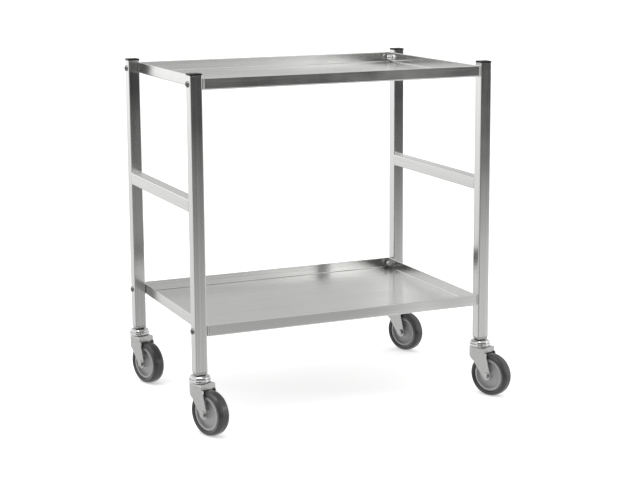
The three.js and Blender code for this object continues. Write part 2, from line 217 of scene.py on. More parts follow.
def finished(obj, material, body, nodes=(), place=None, other=None, other_where=None):
    """Puts a piece in its place on its body, in its material, instead of CAD nodes.

    The faces whose middle passes other_where take the other material."""
    obj.data.materials.clear()
    obj.data.materials.append(material)
    if other is not None:
        obj.data.materials.append(other)
        for face in obj.data.polygons:
            face.material_index = int(other_where(face.center))
    obj.data.shade_smooth()
    obj.data.set_sharp_from_angle(angle=math.radians(32))
    obj.data.transform(obj.matrix_basis if place is None else place)
    obj.matrix_basis = Matrix.Identity(4)
    obj.modifiers.new("flat_faces", "WEIGHTED_NORMAL").keep_sharp = True
    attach(obj, body)
    if nodes:
        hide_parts(*nodes)
    return obj


def centre_of(node):
    low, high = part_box(node)
    return (low + high) / 2


# ---------------------------------------------------------------- materials


def new_material(name):
    material = bpy.data.materials.new(name)
    material.use_nodes = True
    tree = material.node_tree
    return material, tree, tree.nodes["Principled BSDF"]


def add_node(tree, kind, inputs=None, **settings):
    node = tree.nodes.new(kind)
    for key, value in settings.items():
        setattr(node, key, value)
    for key, value in (inputs or {}).items():
        if isinstance(value, bpy.types.NodeSocket):
            tree.links.new(value, node.inputs[key])
        else:
            node.inputs[key].default_value = value
    return node


def noise(tree, scale, detail=2.0, roughness=0.5):
    """Noise over the piece's own coordinates, with a scale along each axis."""
    place = add_node(tree, "ShaderNodeTexCoord").outputs["Object"]
    spread = add_node(tree, "ShaderNodeVectorMath", {0: place, 1: scale}, operation="MULTIPLY")
    made = add_node(
        tree,
        "ShaderNodeTexNoise",
        {"Vector": spread.outputs[0], "Scale": 1.0, "Detail": detail, "Roughness": roughness},
    )
    return made.outputs["Fac"]


def ranged(tree, value, low, high):
    """A noise value moved to the range low to high."""
    inputs = {"Value": value, "From Min": 0.3, "From Max": 0.7, "To Min": low, "To Max": high}
    return add_node(tree, "ShaderNodeMapRange", inputs).outputs[0]


def summed(tree, a, b):
    return add_node(tree, "ShaderNodeMath", {0: a, 1: b}, operation="ADD").outputs[0]


def tinted(tree, value, dark, light):
    """A colour between dark and light."""
    inputs = {"Factor": value, 6: (*dark, 1), 7: (*light, 1)}
    return add_node(tree, "ShaderNodeMix", inputs, data_type="RGBA").outputs[2]


def bumped(tree, height, strength, distance, normal=None):
    inputs = {"Height": height, "Strength": strength, "Distance": distance}
    if normal is not None:
        inputs["Normal"] = normal
    return add_node(tree, "ShaderNodeBump", inputs).outputs["Normal"]


def shades(colour, spread):
    """A darker and a lighter shade of a colour."""
    return [c * (1 - spread) for c in colour], [min(1.0, c * (1 + spread)) for c in colour]


def brushed_steel(name, colour, roughness, grain, stretch, ripple=0.0, rubbed=0.0):
    """Brushed stainless with its grain along one axis: 0 for X, 1 for Y, 2 for Z.

    Level faces are rubbed rougher by that much."""
    material, tree, shader = new_material(name)
    fine_scale = [3200.0] * 3
    fine_scale[grain] = 9.0
    broad_scale = [240.0] * 3
    broad_scale[grain] = 1.3
    fine = noise(tree, fine_scale, 3.0, 0.6)
    broad = noise(tree, broad_scale, 2.0)
    patches = noise(tree, [7.0] * 3, 3.0)
    dark, light = shades(colour, 0.08)
    mixed = summed(tree, ranged(tree, broad, 0.0, 0.7), ranged(tree, fine, 0.0, 0.3))
    tree.links.new(tinted(tree, mixed, dark, light), shader.inputs["Base Color"])
    gloss = summed(
        tree,
        ranged(tree, patches, roughness - 0.03, roughness + 0.03),
        ranged(tree, fine, -0.02, 0.04),
    )
    if rubbed:
        facing = add_node(tree, "ShaderNodeNewGeometry").outputs["True Normal"]
        upward = add_node(tree, "ShaderNodeSeparateXYZ", {0: facing}).outputs["Z"]
        level = add_node(
            tree,
            "ShaderNodeMapRange",
            {"Value": upward, "From Min": 0.8, "From Max": 1.0, "To Min": 0.0, "To Max": rubbed},
        )
        gloss = summed(tree, gloss, level.outputs[0])
    tree.links.new(gloss, shader.inputs["Roughness"])
    normal = bumped(tree, fine, 0.25, 0.004 * MM)
    if ripple:
        wave = noise(tree, [5.0] * 3, 1.0)
        normal = bumped(tree, wave, 1.0, ripple, normal)
    tree.links.new(normal, shader.inputs["Normal"])
    direction = add_node(tree, "ShaderNodeCombineXYZ")
    direction.inputs[grain].default_value = 1.0
    tree.links.new(direction.outputs[0], shader.inputs["Tangent"])
    shader.inputs["Metallic"].default_value = 1.0
    shader.inputs["Anisotropic"].default_value = stretch
    shader.inputs["Anisotropic Rotation"].default_value = 0.25
    return material


def plated_steel(name, colour, roughness, mottle):
    """Pressed or turned steel under plating, with a faint mottle."""
    material, tree, shader = new_material(name)
    cloud = noise(tree, [160.0] * 3, 4.0, 0.6)
    speck = noise(tree, [2200.0] * 3, 2.0)
    dark, light = shades(colour, mottle)
    tree.links.new(tinted(tree, ranged(tree, cloud, 0, 1), dark, light), shader.inputs["Base Color"])
    gloss = summed(
        tree,
        ranged(tree, cloud, roughness * 0.85, roughness * 1.15),
        ranged(tree, speck, -0.02, 0.02),
    )
    tree.links.new(gloss, shader.inputs["Roughness"])
    tree.links.new(bumped(tree, speck, 0.2, 0.01 * MM), shader.inputs["Normal"])
    shader.inputs["Metallic"].default_value = 1.0
    return material


def moulded(name, colour, roughness, grain_size, depth, specular=0.5):
    """Plastic or rubber out of a mould, with a fine skin and faint uneven colour."""
    material, tree, shader = new_material(name)
    skin = noise(tree, [1 / grain_size] * 3, 3.0, 0.6)
    cloud = noise(tree, [35.0] * 3, 4.0, 0.6)
    dark, light = shades(colour, 0.06)
    tree.links.new(tinted(tree, ranged(tree, cloud, 0, 1), dark, light), shader.inputs["Base Color"])
    gloss = ranged(tree, cloud, roughness - 0.05, roughness + 0.05)
    tree.links.new(gloss, shader.inputs["Roughness"])
    tree.links.new(bumped(tree, skin, 0.3, depth), shader.inputs["Normal"])
    shader.inputs["Specular IOR Level"].default_value = specular
    return material


STEEL = (0.63, 0.63, 0.62)
POST_STEEL = brushed_steel("post_steel", STEEL, 0.19, 2, 0.65)
RAIL_STEEL = brushed_steel("rail_steel", (0.58, 0.58, 0.57), 0.22, 1, 0.65)
TRAY_STEEL = brushed_steel("tray_steel", STEEL, 0.14, 0, 0.8, ripple=0.08 * MM, rubbed=0.05)
GROUND_STEEL = plated_steel("ground_steel", (0.6, 0.6, 0.59), 0.42, 0.07)
WELD_STEEL = plated_steel("weld_steel", (0.55, 0.54, 0.52), 0.32, 0.1)
SCREW_STEEL = plated_steel("screw_steel", (0.14, 0.14, 0.14), 0.3, 0.06)
NUT_STEEL = plated_steel("nut_steel", (0.5, 0.5, 0.5), 0.2, 0.05)
ZINC = plated_steel("zinc_plate", (0.47, 0.47, 0.465), 0.3, 0.05)
CHROME = plated_steel("race_plate", (0.58, 0.58, 0.58), 0.1, 0.04)
BLACK_PLASTIC = moulded("black_plastic", (0.004, 0.004, 0.004), 0.45, 0.5 * MM, 0.02 * MM, 0.2)
HUB_PLASTIC = moulded("hub_plastic", (0.28, 0.28, 0.28), 0.42, 0.6 * MM, 0.02 * MM)
RUBBER = moulded("tyre_rubber", (0.03, 0.03, 0.03), 0.22, 0.9 * MM, 0.02 * MM)

# ---------------------------------------------------------------- frame


def tube_rings(low, high, side=TUBE, wall=TUBE_WALL, corner=TUBE_CORNER):
    """A square tube with deburred ends, as a looped skin."""
    inner = side - 2 * wall
    inner_corner = corner - wall
    return [
        square(side - 2 * EDGE, corner - EDGE, low),
        square(side, corner, low + EDGE),
        square(side, corner, high - EDGE),
        square(side - 2 * EDGE, corner - EDGE, high),
        square(inner, inner_corner, high),
        square(inner, inner_corner, low),
    ]


def make_post(corner):
    """A post, with two small stake marks in its front face over the caster insert."""
    node = f"post_{corner}"
    low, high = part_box(node)
    middle = centre_of(node)
    tube = mesh_object(f"{corner}_post", lofted(tube_rings(low.z, high.z), looped=True))
    tube.matrix_basis = Matrix.Translation((middle.x, middle.y, 0))
    marks = []
    for rise in (4 * MM, 8 * MM):
        slot = [(x, z + low.z + rise) for x, z in soften(
            [(s * 1.6 * MM, t * 0.45 * MM, 0.4 * MM) for s, t in ((1, 1), (-1, 1), (-1, -1), (1, -1))]
        )]
        mark = mesh_object("mark", extruded(slot, -TUBE / 2 - MM, -TUBE / 2 + 0.6 * MM))
        mark.matrix_basis = tube.matrix_basis
        marks.append(mark)
    bpy.context.view_layer.update()
    combine(tube, "DIFFERENCE", *marks)
    finished(tube, POST_STEEL, "frame", [node])


def make_cap(corner):
    """A plug with a thin crowned flange, hollow below."""
    node = f"cap_{corner}"
    low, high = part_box(node)
    middle = centre_of(node)
    flange_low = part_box(f"post_{corner}")[1].z + GAP
    plug = TUBE - 2 * TUBE_WALL - 2 * GAP
    hollow = plug - 4.4 * MM
    rings = [
        square(hollow, 1 * MM, flange_low - 1.5 * MM),
        square(hollow, 1 * MM, low.z),
        square(plug - 1 * MM, 1 * MM, low.z),
        square(plug, 1 * MM, low.z + 2 * MM),
        square(plug, 1 * MM, flange_low),
        square(TUBE - 0.6 * MM, TUBE_CORNER, flange_low),
        square(TUBE, TUBE_CORNER, flange_low + 0.3 * MM),
    ]
    round_over = 1.1 * MM
    for k in range(6):
        angle = math.pi / 2 * k / 5
        inset = round_over * (1 - math.cos(angle))
        z = high.z - 0.25 * MM - round_over * (1 - math.sin(angle))
        rings.append(square(TUBE - 2 * inset, TUBE_CORNER - inset * 0.6, z))
    for share in (0.6, 0.25):
        z = high.z - 0.25 * MM * share**2
        rings.append(square(TUBE * share, TUBE_CORNER * share, z))
    cap = mesh_object(f"{corner}_cap", lofted(rings))
    place = Matrix.Translation((middle.x, middle.y, 0))
    finished(cap, BLACK_PLASTIC, "frame", [node], place)


def make_rail(end):
    """A tube along Y, with the welds that join it to its posts."""
    node = f"rail_{end}"
    low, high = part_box(node)
    middle = centre_of(node)
    length = high.y - low.y
    lie = Matrix.Translation(middle) @ Matrix.Rotation(math.pi / 2, 4, "X")
    rail = mesh_object(f"{end}_rail", lofted(tube_rings(-length / 2, length / 2), looped=True))
    rail.data.transform(Matrix.Rotation(math.pi / 2, 4, "X"))
    finished(rail, RAIL_STEEL, "frame", [node], Matrix.Translation(middle))
    for name, side in (("front", -1), ("back", 1)):
        make_weld(f"{end}_{name}_weld", middle, side * length / 2, side)


def make_weld(name, middle, joint_y, side):
    """A butt weld ground flush on the upright faces, with a bead left above and below."""
    proud = 0.1 * MM
    reach = 2.3 * MM
    ground = [
        square(TUBE + 2 * proud - 2 * step, TUBE_CORNER, along)
        for step, along in ((0.1 * MM, -1 * MM), (0, -0.7 * MM), (0, reach - 0.4 * MM), (0.1 * MM, reach))
    ]
    weld = mesh_object(name, lofted(ground))
    weld.data.transform(Matrix.Rotation(-side * math.pi / 2, 4, "X"))
    bead_radius = 1.7 * MM
    ripples = 11
    beads = []
    for up in (-1, 1):
        rings = []
        count = ripples * 4
        for k in range(count + 1):
            x = (k / count - 0.5) * (TUBE - 2.2 * MM)
            swell = 1 + 0.09 * math.cos(2 * math.pi * k / 4)
            taper = min(1.0, 0.35 + 5 * min(k, count - k) / count)
            radius = bead_radius * swell * taper
            rings.append(
                [
                    (x, radius * math.cos(a), up * TUBE / 2 + radius * math.sin(a))
                    for a in (2 * math.pi * m / 14 for m in range(14))
                ]
            )
        beads.append(mesh_object("bead", lofted(rings)))
    combine(weld, "UNION", *beads)
    place = Matrix.Translation(middle + Vector((0, joint_y, 0)))
    finished(weld, WELD_STEEL, "frame", place=place)


def tray_profile():
    """The tray wall from the floor's underside, over the hemmed edge, to the floor's top.

    Points are (inset from the outer face, height)."""
    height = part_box("tray_lower")[1].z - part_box("tray_lower")[0].z
    roll = HEM / 2
    corners = [
        (SHEET_BEND + 2 * MM, 0, 0),
        (0, 0, SHEET_BEND),
        (0, height, roll * 0.98),
        (HEM, height, roll * 0.98),
        (HEM, height - HEM_HEIGHT, 0.25 * MM),
        (SHEET, height - HEM_HEIGHT, 0.2 * MM),
        (SHEET, SHEET, SHEET_BEND - SHEET),
        (SHEET_BEND + 2 * MM, SHEET, 0),
    ]
    return soften(corners, closed=False, steps=8)


def make_tray(level):
    """A sheet pan: folded walls, hemmed edge, and a closed joint near each corner."""
    node = f"tray_{level}"
    low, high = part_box(node)
    middle = centre_of(node)
    length, depth = high.x - low.x, high.y - low.y
    corner = 1.6 * MM
    rings = []
    for p in tray_profile():
        radius = max(0.3 * MM, corner - min(p.x, corner))
        rings.append(rectangle(length - 2 * p.x, depth - 2 * p.x, radius, p.y, steps=5))
    tray = mesh_object(f"{level}_tray", lofted(rings))
    tray.matrix_basis = Matrix.Translation((middle.x, middle.y, low.z))
    cutters = []
    seam = length / 2 - 4.6 * MM
    for x in (-seam, seam):
        for side in (-1, 1):
            y = side * depth / 2
            outline = [(x - 0.35 * MM, SHEET_BEND), (x + 0.35 * MM, SHEET_BEND)]
            outline += [(x + 0.35 * MM, 40 * MM), (x - 0.35 * MM, 40 * MM)]
            cut = mesh_object("seam", extruded(outline, y - 0.8 * MM, y + 0.8 * MM))
            cut.matrix_basis = tray.matrix_basis
            cutters.append(cut)
    bpy.context.view_layer.update()
    combine(tray, "DIFFERENCE", *cutters)

    def on_corner(point):
        return abs(point.x) > seam and abs(point.y) > depth / 2 - MM

    finished(tray, TRAY_STEEL, "frame", [node], other=GROUND_STEEL, other_where=on_corner)


# ---------------------------------------------------------------- fasteners


def washer_shape(radius, hole, height):
    edge = 0.2 * MM
    line = soften(
        [(hole, 0, edge), (radius, 0, edge), (radius, height, edge), (hole, height, edge)], steps=3
    )
    return turned(line, looped=True)


def screw_shape(reach, head_low, head_high, radius, socket):
    """A button-head socket screw along +Z: its thread reaches down from 0."""
    height = head_high - head_low
    rings = [
        circle(BOLT_RADIUS - 0.8 * MM, -reach),
        circle(BOLT_RADIUS, -reach + 0.8 * MM),
        circle(BOLT_RADIUS, head_low),
        circle(radius - 0.2 * MM, head_low),
        circle(radius, head_low + 0.2 * MM),
        circle(radius, head_low + height * 0.2),
    ]
    lip = socket * 0.62
    for k in range(1, 9):
        angle = math.pi / 2 * k / 8
        ring_radius = lip + (radius - lip) * math.cos(angle)
        rings.append(circle(ring_radius, head_low + height * (0.2 + 0.8 * math.sin(angle))))
    rings.append(hexagon(socket, head_high - 0.15 * MM))
    rings.append(hexagon(socket, head_high - 2.4 * MM))
    rings.append(circle(socket * 0.1, head_high - 3.0 * MM))
    return lofted(rings)


def dome_nut_shape(reach):
    """A flanged dome nut on +Z, with a blind hole that opens at z = 0."""
    hole = BOLT_RADIUS + GAP
    flange = 9 * MM
    flange_top = 1.6 * MM
    hex_top = 8 * MM
    dome = HEX / 2 - 0.4 * MM
    top = 12.6 * MM
    rings = [
        circle(hole, reach),
        circle(hole, 0),
        circle(flange - 0.3 * MM, 0),
        circle(flange, 0.3 * MM),
        circle(flange, 1.0 * MM),
        circle(flange - 0.5 * MM, flange_top - 0.1 * MM),
        circle(flange - 1.1 * MM, flange_top),
        hexagon(HEX, flange_top + 0.05 * MM, HEX * 0.568),
        hexagon(HEX, hex_top - 1.0 * MM, HEX * 0.568),
    ]
    for k in range(1, 4):
        most = HEX * 0.568 - (HEX * 0.568 - dome) * k / 3
        rings.append(hexagon(HEX, hex_top - 1.0 * MM + 1.0 * MM * k / 3, most))
    for k in range(10):
        angle = math.pi / 2 * k / 10
        rings.append(circle((dome - 0.3 * MM) * math.cos(angle), hex_top + (top - hex_top) * math.sin(angle)))
    rings.append(circle(0.02 * MM, top))
    return lofted(rings)


def make_tray_fasteners(level, corner):
    """A washer and screw outside the post, and a dome nut inside the tray."""
    bolt_low, bolt_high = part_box(f"bolt_{level}_{corner}")
    nut_low, nut_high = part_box(f"nut_{level}_{corner}")
    post_low, post_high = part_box(f"post_{corner}")
    middle = (bolt_low + bolt_high) / 2
    side = 1 if corner.endswith("right") else -1
    face = post_high.x if side > 0 else post_low.x
    seat = nut_high.x if side > 0 else nut_low.x
    reach = bolt_high.x - bolt_low.x - 4.6 * MM
    out = Matrix.Translation((face, middle.y, middle.z)) @ Matrix.Rotation(side * math.pi / 2, 4, "Y")
    into = Matrix.Translation((seat, middle.y, middle.z)) @ Matrix.Rotation(-side * math.pi / 2, 4, "Y")
    washer = mesh_object(
        f"{level}_{corner}_washer", washer_shape(WASHER_RADIUS, BOLT_RADIUS + GAP, WASHER_HEIGHT)
    )
    finished(washer, NUT_STEEL, "frame", place=out)
    screw = mesh_object(
        f"{level}_{corner}_screw",
        screw_shape(reach, WASHER_HEIGHT + 0.02 * MM, 4.6 * MM, 6.3 * MM, 4 * MM),
    )
    finished(screw, SCREW_STEEL, "frame", [f"bolt_{level}_{corner}"], out)
    nut = mesh_object(f"{level}_{corner}_dome_nut", dome_nut_shape(8.3 * MM))
    finished(nut, NUT_STEEL, "frame", [f"nut_{level}_{corner}"], into)


# ---------------------------------------------------------------- casters


class Caster:
    """Where one caster is: its swivel axis, its axle, and a place whose +X is its trail."""

    def __init__(self, corner):
        self.corner = corner
        swivel = Vector(JOINTS[f"caster_{corner}_turn"]["pos_m"])
        axle = Vector(JOINTS[f"caster_{corner}_roll"]["pos_m"])
        trail = Vector((axle.x - swivel.x, axle.y - swivel.y))
        self.trail = trail.length
        self.height = axle.z
        heading = Matrix.Rotation(math.atan2(trail.y, trail.x), 4, "Z")
        self.fixed = Matrix.Translation((swivel.x, swivel.y, 0))
        self.swivel = self.fixed @ heading
        self.axle = Matrix.Translation(axle) @ heading
        self.frame_body = "frame"
        self.swivel_body = f"caster_{corner}_swivel"
        self.wheel_body = f"caster_{corner}_wheel"

    def node(self, part):
        return f"caster_{self.corner}_{part}"

    def name(self, part):
        return f"{self.corner}_{part}"


def make_insert(caster):
    """The plug in the post, with a foot that tapers from the tube's square to a round."""
    low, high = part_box(caster.node("insert"))
    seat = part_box(f"post_{caster.corner}")[0].z - GAP
    plug = TUBE - 2 * TUBE_WALL - 2 * GAP
    bore = 5.3 * MM
    base = square(TUBE - 1 * MM, TUBE_CORNER, 0)
    rings = []
    count = 10
    for k in range(count + 1):
        share = k / count
        z = low.z + (seat - 0.8 * MM - low.z) * share
        swell = math.sin(share * math.pi / 2) ** 0.6
        ring = []
        for x, y, _ in base:
            angle = math.atan2(y, x)
            radius = 12.5 * MM * (1 - swell) + math.hypot(x, y) * swell
            ring.append((radius * math.cos(angle), radius * math.sin(angle), z))
        rings.append(ring)
    rings.append(square(TUBE - 1 * MM, TUBE_CORNER, seat - 0.25 * MM))
    rings.append(square(TUBE - 1.6 * MM, TUBE_CORNER, seat))
    rings.append(square(plug, 1 * MM, seat))
    rings.append(square(plug, 1 * MM, high.z - 1 * MM))
    rings.append(square(plug - 1.4 * MM, 1 * MM, high.z))
    for z in (high.z, low.z):
        rings.append([(bore * x, bore * y, z) for x, y in unit_directions(base)])
    insert = mesh_object(caster.name("insert"), lofted(rings, looped=True))
    finished(insert, ZINC, caster.frame_body, [caster.node("insert")], caster.fixed)


def unit_directions(ring):
    """The directions of a ring's points from its middle."""
    return [(x / math.hypot(x, y), y / math.hypot(x, y)) for x, y, _ in ring]


def make_stem(caster):
    """The king bolt: a low domed head under the crown, and a shank up into the insert."""
    low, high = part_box(caster.node("stem"))
    head_top = low.z + 6 * MM
    line = soften(
        [
            (0, low.z, 0),
            (9 * MM, low.z + 0.4 * MM, 1.8 * MM),
            (9 * MM, head_top, 0.3 * MM),
            (5 * MM, head_top, 0.2 * MM),
            (5 * MM, high.z, 1 * MM),
            (0, high.z, 0),
        ],
        closed=False,
        steps=4,
    )
    stem = mesh_object(caster.name("king_bolt"), turned(line, 48))
    finished(stem, ZINC, caster.frame_body, [caster.node("stem")], caster.fixed)


def make_race(caster):
    """The ball-race housing: a lower ring, a groove, and a domed upper cup."""
    low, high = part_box(caster.node("race"))
    bottom, top = low.z, high.z
    height = top - bottom
    hole = 5.3 * MM
    corners = [
        (hole, bottom, 0.2 * MM),
        (23.0 * MM, bottom, 1.0 * MM),
        (23.9 * MM, bottom + 0.24 * height, 2.2 * MM),
        (23.4 * MM, bottom + 0.43 * height, 1.2 * MM),
        (20.8 * MM, bottom + 0.46 * height, 0.4 * MM),
        (20.8 * MM, bottom + 0.54 * height, 0.4 * MM),
        (22.6 * MM, bottom + 0.57 * height, 0.8 * MM),
        (22.2 * MM, bottom + 0.80 * height, 2.2 * MM),
        (18.4 * MM, bottom + 0.97 * height, 2.4 * MM),
        (14.4 * MM, top - 0.2 * MM, 0.6 * MM),
        (13.6 * MM, top, 0.2 * MM),
        (hole, top, 0.2 * MM),
    ]
    race = mesh_object(caster.name("ball_race"), turned(soften(corners, steps=5), 96, looped=True))
    finished(race, CHROME, caster.frame_body, [caster.node("race")], caster.fixed)


def fork_side(caster, top, rear, front, lip, eye):
    """The fork seen from its side, as (x, z) points: crown, leg, eye, and the rounded back."""
    axle = (caster.trail, caster.height)
    outline = soften(
        [(front, top, 0), (-rear, top, 0), (-rear, 0.091, 0.012), (-0.0035, 0.079, 0.03)],
        closed=False,
        steps=12,
    )
    first, last = math.radians(216), math.radians(369)
    for k in range(33):
        angle = first + (last - first) * k / 32
        outline.append(Vector((axle[0] + eye * math.cos(angle), axle[1] + eye * math.sin(angle))))
    outline.append(Vector((front + 3.2 * MM, lip)))
    outline.append(Vector((front, lip)))
    return [(p.x, p.y) for p in outline]


def fork_shell(width, rear, front, top, bend, bottom=0.0):
    """A solid with straight sides, a half-oval back and a rounded-over top."""

    def plan(inset, z):
        half = width / 2 - inset
        ring = [(front - inset, -half, z), (front - inset, half, z)]
        for k in range(41):
            angle = math.pi / 2 + math.pi * k / 40
            ring.append(((rear - inset) * math.cos(angle), half * math.sin(angle), z))
        return ring

    rings = [plan(0, bottom), plan(0, top - bend)]
    for k in range(1, 8):
        angle = math.pi / 2 * k / 7
        rings.append(plan(bend * (1 - math.cos(angle)), top - bend * (1 - math.sin(angle))))
    return lofted(rings)


def make_fork(caster):
    """A pressed fork: flat legs, a rounded closed back, a crown and a lip over the wheel."""
    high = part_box(caster.node("fork"))[1].z
    rear, front, lip, eye = 26.5 * MM, 27 * MM, 101 * MM, 11 * MM
    side = extruded(fork_side(caster, high, rear, front, lip, eye), -FORK_WIDTH, FORK_WIDTH)
    fork = mesh_object(caster.name("fork"), side)
    shell = mesh_object("shell", fork_shell(FORK_WIDTH, rear, 0.1, high, CROWN_BEND))
    gap = FORK_WIDTH - 2 * FORK_PLATE
    hollow = mesh_object(
        "hollow",
        fork_shell(
            gap, rear - FORK_PLATE, front - FORK_PLATE, high - FORK_PLATE, CROWN_BEND - FORK_PLATE, -0.01
        ),
    )
    throat_outline = [(-MM, -0.02), (0.1, -0.02), (0.1, lip), (-MM, lip)]
    throat = mesh_object("throat", extruded(throat_outline, -gap / 2, gap / 2))
    hole = mesh_object("hole", turned([(0, high - 0.01), (5.3 * MM, high - 0.01), (5.3 * MM, 1), (0, 1)], 48))
    bore = mesh_object(
        "bore", turned([(0, -0.05), (4.3 * MM, -0.05), (4.3 * MM, 0.05), (0, 0.05)], 48)
    )
    bore.data.transform(
        Matrix.Translation((caster.trail, 0, caster.height)) @ Matrix.Rotation(math.pi / 2, 4, "X")
    )
    combine(fork, "INTERSECT", shell)
    combine(fork, "DIFFERENCE", hollow, throat, hole, bore)
    ease_edges(fork, 0.4 * MM)
    finished(fork, ZINC, caster.swivel_body, [caster.node("fork")], caster.swivel)


def make_tyre(caster):
    """A solid tyre with a tread rounded over at its shoulders and sidewalls that bulge a little."""
    radius = caster.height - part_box(caster.node("tyre"))[0].z
    half = TYRE_WIDTH / 2
    corners = [
        (38 * MM, -half + 2.6 * MM, 0.3 * MM),
        (39.5 * MM, -half + 1.6 * MM, 0.5 * MM),
        (42 * MM, -half + 0.5 * MM, 3 * MM),
        (44.5 * MM, -half + 0.1 * MM, 2 * MM),
        (radius - 2.6 * MM, -half + 1.9 * MM, 2.4 * MM),
        (radius, -6.5 * MM, 7 * MM),
    ]
    corners += [(r, -y, arc) for r, y, arc in reversed(corners)]
    tyre = mesh_object(caster.name("tyre"), turned(soften(corners, steps=7), 128, looped=True))
    stand = caster.axle @ Matrix.Rotation(math.pi / 2, 4, "X")
    finished(tyre, RUBBER, caster.wheel_body, [caster.node("tyre")], stand)


def make_hub(caster):
    """The moulded wheel centre: raised rim ring, dished web and a bored boss."""
    boss = FORK_WIDTH / 2 - FORK_PLATE - GAP
    rim = 12.4 * MM
    corners = [
        (4.3 * MM, -boss, 0.3 * MM),
        (8.8 * MM, -boss, 0.8 * MM),
        (10.2 * MM, -7.4 * MM, 2.5 * MM),
        (18 * MM, -6.2 * MM, 4 * MM),
        (29.5 * MM, -5.0 * MM, 1.8 * MM),
        (32.0 * MM, -rim, 1.0 * MM),
        (36.0 * MM, -rim, 0.9 * MM),
        (36.6 * MM, -rim + 1.4 * MM, 0.5 * MM),
        (37.7 * MM, -rim + 1.6 * MM, 0.3 * MM),
    ]
    corners += [(r, -y, arc) for r, y, arc in reversed(corners)]
    hub = mesh_object(caster.name("wheel_centre"), turned(soften(corners, steps=6), 128, looped=True))
    stand = caster.axle @ Matrix.Rotation(math.pi / 2, 4, "X")
    finished(hub, HUB_PLASTIC, caster.wheel_body, [caster.node("hub")], stand)


def threaded(low, high, radius, pitch):
    """Rings for a stretch of thread, crests and roots."""
    count = int((high - low) / pitch)
    rings = []
    for k in range(count):
        z = low + (high - low) * k / count
        rings.append(circle(radius - 0.45 * MM, z, 48))
        rings.append(circle(radius, z + pitch * 0.45, 48))
        rings.append(circle(radius, z + pitch * 0.6, 48))
    return rings


def make_axle(caster):
    """The axle bolt from one leg to the other, with a washer under its head and its nut."""
    face = FORK_WIDTH / 2
    head_low = face + WASHER_HEIGHT + 0.05 * MM
    head_top = face + 5.6 * MM
    most = HEX * 0.563
    rings = [circle(0.3 * MM, -head_top, 48), circle(4.6 * MM, -head_top, 48)]
    for k in range(5):
        share = k / 4
        rings.append(
            hexagon(HEX, -head_top + 0.1 * MM + 1.1 * MM * share, 5.9 * MM + (most - 5.9 * MM) * share, 48)
        )
    rings.append(hexagon(HEX, -head_low, most, 48))
    rings.append(circle(4 * MM, -head_low, 48))
    thread_start = face + 5.7 * MM
    end = face + 8.1 * MM
    rings.append(circle(4 * MM, thread_start - 0.1 * MM, 48))
    rings += threaded(thread_start, end - 0.6 * MM, 4 * MM, 0.9 * MM)
    rings.append(circle(3.2 * MM, end, 48))
    stand = caster.axle @ Matrix.Rotation(-math.pi / 2, 4, "X")
    bolt = mesh_object(caster.name("axle_bolt"), lofted(rings))
    finished(bolt, ZINC, caster.swivel_body, [caster.node("axle_bolt")], stand)

    nut_low, nut_top = head_low, face + 5.6 * MM
    nut_rings = [circle(4.25 * MM, nut_low, 48), hexagon(HEX, nut_low, most - 0.5 * MM, 48)]
    nut_rings.append(hexagon(HEX, nut_low + 0.5 * MM, most, 48))
    for k in range(4):
        share = k / 3
        nut_rings.append(hexagon(HEX, nut_top - 1.6 * MM + 0.9 * MM * share, most - 0.95 * MM * share, 48))
    nut_rings.append(circle(5.4 * MM, nut_top - 0.5 * MM, 48))
    nut_rings.append(circle(5.1 * MM, nut_top, 48))
    nut_rings.append(circle(4.25 * MM, nut_top, 48))
    nut = mesh_object(caster.name("axle_nut"), lofted(nut_rings, looped=True))
    finished(nut, ZINC, caster.swivel_body, [caster.node("axle_nut")], stand)

    for name, turn in (("head_washer", math.pi / 2), ("nut_washer", -math.pi / 2)):
        place = caster.axle @ Matrix.Rotation(turn, 4, "X") @ Matrix.Translation((0, 0, face))
        shape = washer_shape(WASHER_RADIUS, BOLT_RADIUS + GAP, WASHER_HEIGHT)
        washer = mesh_object(caster.name(name), shape)
        finished(washer, ZINC, caster.swivel_body, place=place)


# ---------------------------------------------------------------- the trolley

for corner in CORNERS:
    make_post(corner)
    make_cap(corner)
    for level in LEVELS:
        make_tray_fasteners(level, corner)
    caster = Caster(corner)
    make_insert(caster)
    make_stem(caster)
    make_race(caster)
    make_fork(caster)
    make_tyre(caster)
    make_hub(caster)
    make_axle(caster)
for level in LEVELS:
    make_tray(level)
for end in ENDS:
    make_rail(end)

# ---------------------------------------------------------------- studio


def make_floor():
    """A pale floor, wide enough that its edge is never in the picture."""
    half = 40.0
    shape = ([(-half, -half, 0), (half, -half, 0), (half, half, 0), (-half, half, 0)], [(0, 1, 2, 3)])
    floor = mesh_object("floor", shape)
    material, tree, shader = new_material("pale_floor")
    tone = noise(tree, [3.0] * 3, 2.0)
    dark, light = shades((0.9, 0.9, 0.9), 0.006)
    tree.links.new(tinted(tree, tone, dark, light), shader.inputs["Base Color"])
    shader.inputs["Roughness"].default_value = 0.9
    shader.inputs["Specular IOR Level"].default_value = 0.1
    shader.inputs["Emission Color"].default_value = (1, 1, 1, 1)
    shader.inputs["Emission Strength"].default_value = 0.42
    floor.data.materials.append(material)
    floor.visible_glossy = False


ELEVATIONS = (-60.0, 60.0)  # degrees, the range of the brightness ramps
BRIGHTEST = 2.0  # what white means on a ramp


def calculated(tree, operation, a, b=0.0):
    return add_node(tree, "ShaderNodeMath", {0: a, 1: b}, operation=operation).outputs[0]


